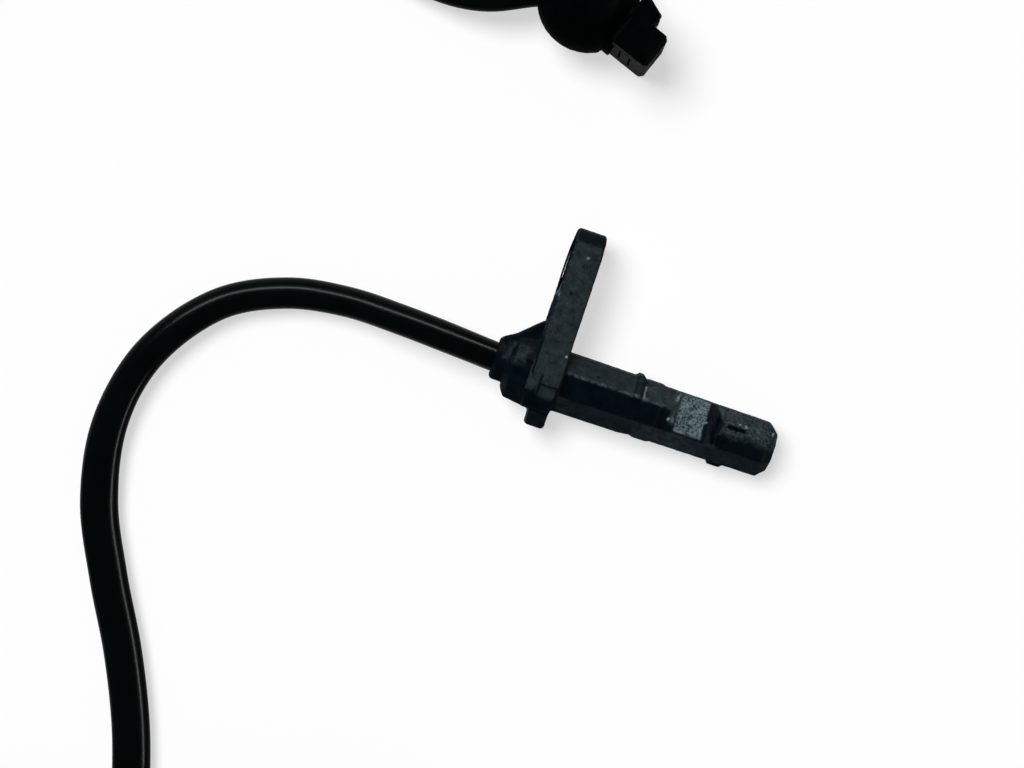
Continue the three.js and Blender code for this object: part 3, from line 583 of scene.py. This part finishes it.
# Where they lie on the barrel. A pair is where one fades in, or its two ends: X is in mm along the
# barrel, Y in mm across, TURN in degrees around it and DRIFT a level of the noise that frays edges.
# SOFT is half the width over which an end fades, SHARE how strong a painted tone is, and MOTTLE and
# FRAY how much the noise changes its strength and its ends
SHAFT_END_X = (WINDOW_X - 0.2, WINDOW_X)
LIT_TURN = (-1, 2)
LIT_SHARE = 0.85
LIT_MOTTLE = 0.4
PALE_X = (13, 14.5)
SIDE_TURN = (43, 48)
LOW_START_X = (12.2, 15.5)
LOW_END_X = (21, 27)
LOW_SHARE = 0.6
LOW_MOTTLE = 0.6
RIDGE_TURN = (-2.6, 2.6)
RIDGE_SOFT = 2
RIDGE_DRIFT = (-0.45, 0.15)
BEAD_X = (11.7, 12.9)
BEAD_TURN = (2, 6)
STREAK_X = (13.25, 13.5)
STREAK_SOFT = 0.1
STREAK_Y = (1.4, 3.5)
RAMP_X = (18.4, 19.6)
RAMP_SOFT = 0.3
RAMP_Y = (-1.4, 0)
CRESCENT_MIDDLE = (18.75, 1.8)
CRESCENT_HALF = 0.16
CRESCENT_SOFT = 0.14
CRESCENT_SHARE = 0.7
CRESCENT_BEND = 0.06  # per mm
CRESCENT_Y = (-0.6, 4.2)
CRESCENT_DRIFT = (-0.4, 0.1)
WINDOW_START_X = WINDOW_X + 0.05
WINDOW_SOFT = 0.1
WINDOW_FRAY = 0.15
WINDOW_Y = (-2, -1.7)
TIP_MIDDLE_Y = 1.5
TIP_BEND = 0.25  # per mm
TIP_SOFT = 0.2
TIP_Y = (-0.5, 1.1)
TIP_TOP_Y = (2.2, 2.8)
SLOT_X = (27.7, 30.7)
SLOT_Y = (1.3, 2.05)

# Where they lie on the whole head. Z is in mm up from the barrel's axis, and NORMAL_X and NORMAL_Z
# are how far a face looks forward and up, from -1 to 1
DRIFT_GRAIN = 1.2  # mm
DRIFT_SWING = 0.8
FRONT_FACE_X = 0.05  # from here on a point is on the barrel
BARREL_TURN = (-88, 62)
BARREL_CORE = 3.2  # mm from the axis, inside which there is no barrel face
BARREL_NORMAL_Z = (-0.2, 0.3)
FLANGE_SOFT = 0.3  # mm, either way, in which a point counts as on the flange's back
TAB_Y = -5.4
EAR_NORMAL_Z = (0.6, 0.85)
EAR_Z = (4.6, 5.2)
BACK_Y = 6
BACK_GLINT_Y = (12.6, 14.9)
BACK_GLINT_SOFT = 0.4
BACK_NORMAL_X = (-0.3, -0.7)
BACK_DRIFT = (0.0, 0.3)
BOSS_X = (-9.7, -6.2)
BOSS_X_SOFT = 0.4
BOSS_Y = (0.4, 3.6)
BOSS_Y_SOFT = 0.5
BOSS_NORMAL_Z = (0.4, 0.65)
WEAR_AND_EDGE_SHEEN = 0.012  # lighter outer edges: wear, and a painted edge highlight
WEAR_AND_SHEEN_EDGE = (0.08, 0.2)
WEAR_AND_SHEEN_DRIFT = (-0.3, 0.4)
SPECK_NORMAL_Z = 0.2
SPECK_Z = 2
SPECK_SOFT = 0.1
SPECKS = [  # mm along and across the head, radius in mm, and the tone: painted glints, and dark spots of plain plastic
    (18.2, -0.3, 0.2, GLINT),
    (24.3, 1.1, 0.17, GLINT),
    (-0.5, 3.9, 0.2, GLINT),
    (5.5, 2.4, 0.24, BARE),
    (35.2, 2.7, 0.3, GLINT),
    (30.6, 2.4, 0.26, GLINT),
    (29.6, 2.45, 0.2, GLINT),
    (-2.2, 19.8, 0.2, GLINT),
    (-3.0, 13.6, 0.2, BARE),
]

# Meshes: grids, and roughness as the swing and the grain of the unevenness, all in mm
HOUSING_GRID = 0.206
BOOT_GRID = 0.26
PLUG_GRID = 0.17
PITTED_FROM = 0.09  # level of the first attribute, which only the window and the painted glints reach
PITTED = (0.07, 0.22)
MOULDED_SWING = 0.025
MOULDED_SWING_PER_GRAIN = 0.035
MOULDED_GRAIN = 0.75
BOOT_ROUGHNESS = (0.04, 0.9)
PLUG_ROUGHNESS = (0.03, 1.0)
TIE_ROUGHNESS = (0.02, 1.0)
TIE_EDGE = 0.2
TIE_LONGEST_EDGE = 0.9
DULL_DEPTH = 0.4  # mm in from the flange's back
DULL_NORMAL_X = -0.8
BUSH_DULL_NORMAL_X = -0.5


def edge_standout(vertex):
    """How far a point stands out of its neighbours, in parts of the grid: over 0 on an outer edge."""
    middle = Vector()
    for edge in vertex.link_edges:
        middle += edge.other_vert(vertex).co
    middle /= max(len(vertex.link_edges), 1)
    return (vertex.co - middle).dot(vertex.normal) / (HOUSING_GRID * MM)


def blend(below, above, share):
    return tuple(a + (b - a) * share for a, b in zip(below, above))


def band(low, high, value, soft=0.12):
    """1 between two values and 0 outside them, with soft ends."""
    return smoothstep(low - soft, low + soft, value) * (1 - smoothstep(high - soft, high + soft, value))


def barrel_light_and_dust(x, y, turn, drift):
    """The painted light, shade and highlights on the barrel's upper side, and its window: x along it, y
    across, and turn around it in degrees.
    """
    shaft = 1 - smoothstep(*SHAFT_END_X, x)
    # Painted light on the lit upper facet, paler towards the tip, over the plain plastic
    facet = blend(LIT_FACET_PAINT, PALER_LIT_FACET_PAINT, smoothstep(*PALE_X, x))
    light_and_dust = blend(BARE, facet, shaft * smoothstep(*LIT_TURN, turn) * (LIT_SHARE + LIT_MOTTLE * drift))
    # Painted tone of the shaded side facets, lit by bounce from the floor
    side = smoothstep(*SIDE_TURN, -turn)
    light_and_dust = blend(light_and_dust, SHADED_SIDE_PAINT, side)
    # Painted bounce light from the floor on the low facet
    low = side * smoothstep(*LOW_START_X, x + drift) * (1 - smoothstep(*LOW_END_X, x))
    light_and_dust = blend(light_and_dust, LOW_FACET_BOUNCE_PAINT, low * (LOW_SHARE + LOW_MOTTLE * drift))
    # Painted highlight along the ridge
    ridge = shaft * band(*RIDGE_TURN, turn, RIDGE_SOFT) * smoothstep(*RIDGE_DRIFT, drift)
    light_and_dust = blend(light_and_dust, RIDGE_HIGHLIGHT_PAINT, ridge)
    # Painted shade on the bead
    light_and_dust = blend(light_and_dust, BEAD_SHADE_PAINT, band(*BEAD_X, x) * smoothstep(*BEAD_TURN, turn))
    # Painted highlight in a streak behind the bead
    light_and_dust = blend(light_and_dust, GLINT, band(*STREAK_X, x, STREAK_SOFT) * band(*STREAK_Y, y))
    # Painted light on the ramp before the window
    light_and_dust = blend(light_and_dust, RAMP_LIGHT_PAINT, band(*RAMP_X, x, RAMP_SOFT) * smoothstep(*RAMP_Y, y))

    # Painted glint in a crescent before the window
    edge = CRESCENT_MIDDLE[0] + CRESCENT_BEND * (y - CRESCENT_MIDDLE[1]) ** 2
    crescent = band(edge - CRESCENT_HALF, edge + CRESCENT_HALF, x, CRESCENT_SOFT)
    crescent = crescent * band(*CRESCENT_Y, y) * smoothstep(*CRESCENT_DRIFT, drift)
    light_and_dust = blend(light_and_dust, GLINT, CRESCENT_SHARE * crescent)

    window_end = NOTCH_X + WINDOW_FRAY * drift
    window = band(WINDOW_START_X, window_end, x, WINDOW_SOFT) * smoothstep(*WINDOW_Y, y)
    light_and_dust = blend(light_and_dust, WINDOW, window)

    # Scuffing and painted light on the tip's upper side, and a painted light band along its top
    tip_edge = TIP_X - TIP_BEND * (y - TIP_MIDDLE_Y) ** 2
    tip = smoothstep(tip_edge - TIP_SOFT, tip_edge + TIP_SOFT, x)
    light_and_dust = blend(light_and_dust, TIP_SCUFF_AND_LIGHT, tip * smoothstep(*TIP_Y, y + drift))
    light_and_dust = blend(light_and_dust, TIP_TOP_LIGHT_PAINT, tip * smoothstep(*TIP_TOP_Y, y))
    # Painted shade around the slot: plain plastic in place of the tip's tone
    return blend(light_and_dust, BARE, band(*SLOT_X, x) * band(*SLOT_Y, y))


def flange_light_and_dust(light_and_dust, x, y, z, facing, drift):
    """The tone with what the flange has of its own: the short tab, painted light on the ear's top, and
    its back with a painted glint.
    """
    if y < TAB_Y:
        light_and_dust = TAB
    # Painted light on the ear's top faces
    light_and_dust = blend(light_and_dust, EAR_TOP_LIGHT_PAINT, smoothstep(*EAR_NORMAL_Z, facing.z) * smoothstep(*EAR_Z, z))
    if x < -FLANGE_THICKNESS + FLANGE_SOFT and y > BACK_Y:
        # Painted glint on the ear's back
        glint = band(*BACK_GLINT_Y, y, BACK_GLINT_SOFT) * smoothstep(*BACK_DRIFT, drift)
        light_and_dust = blend(light_and_dust, blend(EAR_BACK, GLINT, glint), smoothstep(*BACK_NORMAL_X, facing.x))
    return light_and_dust


def housing_light_and_dust(vertex):
    """The tone at a point of the housing, from where it lies and the way it faces: mostly painted
    light, shade and highlights, with a dusty film and wear.
    """
    x, y, z = (row_to_head @ vertex.co) / MM
    across = (row_to_barrel @ vertex.co) / MM
    facing = row_to_head.to_3x3() @ vertex.normal
    drift = noise.noise(vertex.co / (DRIFT_GRAIN * MM)) * DRIFT_SWING
    # Painted light reflected onto upright faces
    light_and_dust = (UPRIGHT_LIGHT_PAINT * (1 - abs(facing.z)), UPRIGHT_GRAIN)
    if x > FRONT_FACE_X:
        turn = math.degrees(math.atan2(across.y, across.z))
        if BARREL_TURN[0] < turn < BARREL_TURN[1] and math.hypot(across.y, across.z) > BARREL_CORE:
            barrel_tone = barrel_light_and_dust(x, y, turn, drift)
            light_and_dust = blend(light_and_dust, barrel_tone, smoothstep(*BARREL_NORMAL_Z, facing.z))
    elif x > -FLANGE_THICKNESS - FLANGE_SOFT:
        light_and_dust = flange_light_and_dust(light_and_dust, x, y, z, facing, drift)
    else:
        # Painted highlight on the boss's top
        patch = band(*BOSS_X, x + drift, BOSS_X_SOFT) * band(*BOSS_Y, y, BOSS_Y_SOFT)
        light_and_dust = blend(light_and_dust, BOSS_HIGHLIGHT_PAINT, patch * smoothstep(*BOSS_NORMAL_Z, facing.z))
    # Lighter outer edges: wear, and a painted edge highlight
    worn_and_sheen = WEAR_AND_EDGE_SHEEN * smoothstep(*WEAR_AND_SHEEN_EDGE, edge_standout(vertex)) * smoothstep(*WEAR_AND_SHEEN_DRIFT, drift)
    light_and_dust = (light_and_dust[0] + worn_and_sheen, light_and_dust[1])
    # Painted glints, and dark spots of plain plastic
    if facing.z > SPECK_NORMAL_Z and z > SPECK_Z:
        for speck_x, speck_y, radius, speck in SPECKS:
            distance = math.hypot(x - speck_x, y - speck_y)
            outside = smoothstep(radius - SPECK_SOFT, radius + SPECK_SOFT, distance)
            light_and_dust = blend(speck, light_and_dust, outside)
    return light_and_dust


def make_housing():
    """The moulding, with its dusty film and painted light kept on its points, and the back of its ear
    in a dull material.
    """
    bm = melted("sensor_housing", HOUSING_GRID, rounds=3)
    dust_and_light = bm.verts.layers.float.new("dust_and_light")
    grain = bm.verts.layers.float.new("grain")
    for vertex in bm.verts:
        vertex[dust_and_light], vertex[grain] = housing_light_and_dust(vertex)
    for face in bm.faces:
        place = (row_to_head @ face.calc_center_median()) / MM
        facing = row_to_head.to_3x3() @ face.normal
        behind = place.x < -FLANGE_THICKNESS + DULL_DEPTH and place.y > BACK_Y
        face.material_index = int(behind and facing.x < DULL_NORMAL_X)

    def unevenness(vertex):
        if vertex[dust_and_light] > PITTED_FROM:
            return PITTED
        return (MOULDED_SWING + MOULDED_SWING_PER_GRAIN * vertex[grain], MOULDED_GRAIN)

    roughen(bm, unevenness)
    return finished(bm, "sensor_body", "sensor_housing", [housing_plastic, matte_back])


def make_bush():
    """The steel bush, turned, with a chamfer at each end. The end at the back is as dull as the
    plastic beside it, because from above it would mirror the white surroundings."""
    back, front = -FLANGE_THICKNESS - BUSH_PROUD, 0
    profile = [
        (BUSH_INNER, back + BUSH_CHAMFER),
        (BUSH_INNER + BUSH_CHAMFER, back),
        (BUSH_OUTER - BUSH_CHAMFER, back),
        (BUSH_OUTER, back + BUSH_CHAMFER),
        (BUSH_OUTER, front - BUSH_CHAMFER),
        (BUSH_OUTER - BUSH_CHAMFER, front),
        (BUSH_INNER + BUSH_CHAMFER, front),
        (BUSH_INNER, front - BUSH_CHAMFER),
    ]
    bm = bmesh.new()
    rings = []
    for k in range(BUSH_SIDES):
        turn = 2 * math.pi * k / BUSH_SIDES
        ring = []
        for radius, x in profile:
            place = Vector((x, HOLE_Y + radius * math.cos(turn), radius * math.sin(turn)))
            ring.append(bm.verts.new(head_to_row @ (place * MM)))
        rings.append(ring)
    for k in range(BUSH_SIDES):
        here, following = rings[k], rings[(k + 1) % BUSH_SIDES]
        for i in range(len(profile)):
            j = (i + 1) % len(profile)
            bm.faces.new((here[i], here[j], following[j], following[i]))
    bmesh.ops.recalc_face_normals(bm, faces=bm.faces)
    bm.normal_update()
    for face in bm.faces:
        face.material_index = int((row_to_head.to_3x3() @ face.normal).x < BUSH_DULL_NORMAL_X)
    return finished(bm, "steel_bush", "mounting_bush", [bush_steel, matte_back])


def make_boot():
    bm = melted("plug_boot", BOOT_GRID, rounds=4)
    roughen(bm, lambda vertex: BOOT_ROUGHNESS)
    return finished(bm, "rubber_boot", "plug_boot", [boot_rubber])


def make_plug_shell():
    bm = melted("plug_housing", PLUG_GRID, rounds=2)
    roughen(bm, lambda vertex: PLUG_ROUGHNESS)
    return finished(bm, "plug_shell", "plug_housing", [plug_plastic])


def make_tie(number):
    bm = bevelled(f"coil_tie_{number}", TIE_EDGE)
    refine(bm, TIE_LONGEST_EDGE)
    roughen(bm, lambda vertex: TIE_ROUGHNESS)
    return finished(bm, f"cable_tie_{number}", f"coil_tie_{number}", [tie_nylon])


make_housing()
make_bush()
boot = make_boot()
plug_shell = make_plug_shell()
ties = [make_tie(number) for number in (1, 2)]


# Floor, light and background
FLOOR_WIDTH = 3.0  # m
FLOOR_GLOW = 0.6
FLOOR_COLOUR = 0.43
SUN_STRENGTH = 2.9
SUN_BEARING = 138  # degrees in the picture: 0 is its right and 90 its top
SUN_FROM_ZENITH = 23
SUN_WIDTH = 30  # degrees across, which gives the shadows their softness
SUN_DISTANCE = 1  # m
WORLD_LEVEL = 0.06
STRIP_BEARINGS = (2, 92)
STRIP_HEIGHT = 24  # degrees above the horizon
STRIP_DISTANCE = 1.2  # m
STRIP_SIZE = (1.9, 0.12)
STRIP_POWER = 95


def seen_directly(tree):
    """1 for camera, glossy and transmission rays, and 0 for those that carry light to surfaces."""
    path = tree.nodes.new("ShaderNodeLightPath")
    seen = path.outputs["Is Camera Ray"]
    for name in ("Is Glossy Ray", "Is Transmission Ray"):
        seen = value_node(tree, "MAXIMUM", seen, path.outputs[name])
    return seen


def put_floor():
    half = FLOOR_WIDTH / 2
    corners = [(-half, -half, 0), (half, -half, 0), (half, half, 0), (-half, half, 0)]
    floor = mesh_object("floor", corners, [(0, 1, 2, 3)])
    material = bpy.data.materials.new("floor")
    tree, shader = shader_nodes(material)
    shader.inputs["Roughness"].default_value = 0.9
    shader.inputs["Specular IOR Level"].default_value = 0.0
    shader.inputs["Base Color"].default_value = (*grey(FLOOR_COLOUR), 1)
    shader.inputs["Emission Color"].default_value = (1, 1, 1, 1)
    glow = value_node(tree, "MULTIPLY", seen_directly(tree), FLOOR_GLOW)
    tree.links.new(glow, shader.inputs["Emission Strength"])
    floor.data.materials.append(material)


def aim(lamp, bearing, from_zenith, distance):
    """Puts a lamp in a direction as seen in the picture, looking at its middle."""
    turn = math.radians(bearing) + VIEW_TURN
    lean = math.radians(from_zenith)
    across = math.sin(lean)
    direction = Vector((across * math.cos(turn), across * math.sin(turn), math.cos(lean)))
    lamp.location = Vector((*VIEW_CENTRE, 0)) * MM + direction * distance
    lamp.rotation_euler = direction.to_track_quat("Z", "Y").to_euler()


def put_lamps():
    """A soft key light for the form and the shadow, and two strips that only show in the gloss."""
    data = bpy.data.lights.new("soft_sun", "SUN")
    data.energy = SUN_STRENGTH
    data.angle = math.radians(SUN_WIDTH)
    key = put_object("soft_sun", data)
    key.visible_glossy = False
    aim(key, SUN_BEARING, SUN_FROM_ZENITH, SUN_DISTANCE)
    for bearing in STRIP_BEARINGS:
        data = bpy.data.lights.new(f"strip_{bearing}", "AREA")
        data.shape = "RECTANGLE"
        data.size, data.size_y = STRIP_SIZE
        data.energy = STRIP_POWER
        strip = put_object(f"strip_{bearing}", data)
        strip.visible_diffuse = False
        aim(strip, bearing, 90 - STRIP_HEIGHT, STRIP_DISTANCE)


def put_world():
    world = bpy.data.worlds.new("studio")
    bpy.context.scene.world = world
    world.use_nodes = True
    tree = world.node_tree
    tree.nodes.clear()
    output = tree.nodes.new("ShaderNodeOutputWorld")
    shade = tree.nodes.new("ShaderNodeBackground")
    shade.inputs["Color"].default_value = (1, 1, 1, 1)
    pick = tree.nodes.new("ShaderNodeMix")
    pick.data_type = "FLOAT"
    pick.inputs["A"].default_value = WORLD_LEVEL
    pick.inputs["B"].default_value = 1.0
    tree.links.new(seen_directly(tree), pick.inputs["Factor"])
    tree.links.new(pick.outputs["Result"], shade.inputs["Strength"])
    tree.links.new(shade.outputs["Background"], output.inputs["Surface"])


put_floor()
put_lamps()
put_world()
bpy.context.scene.view_settings.view_transform = "Standard"
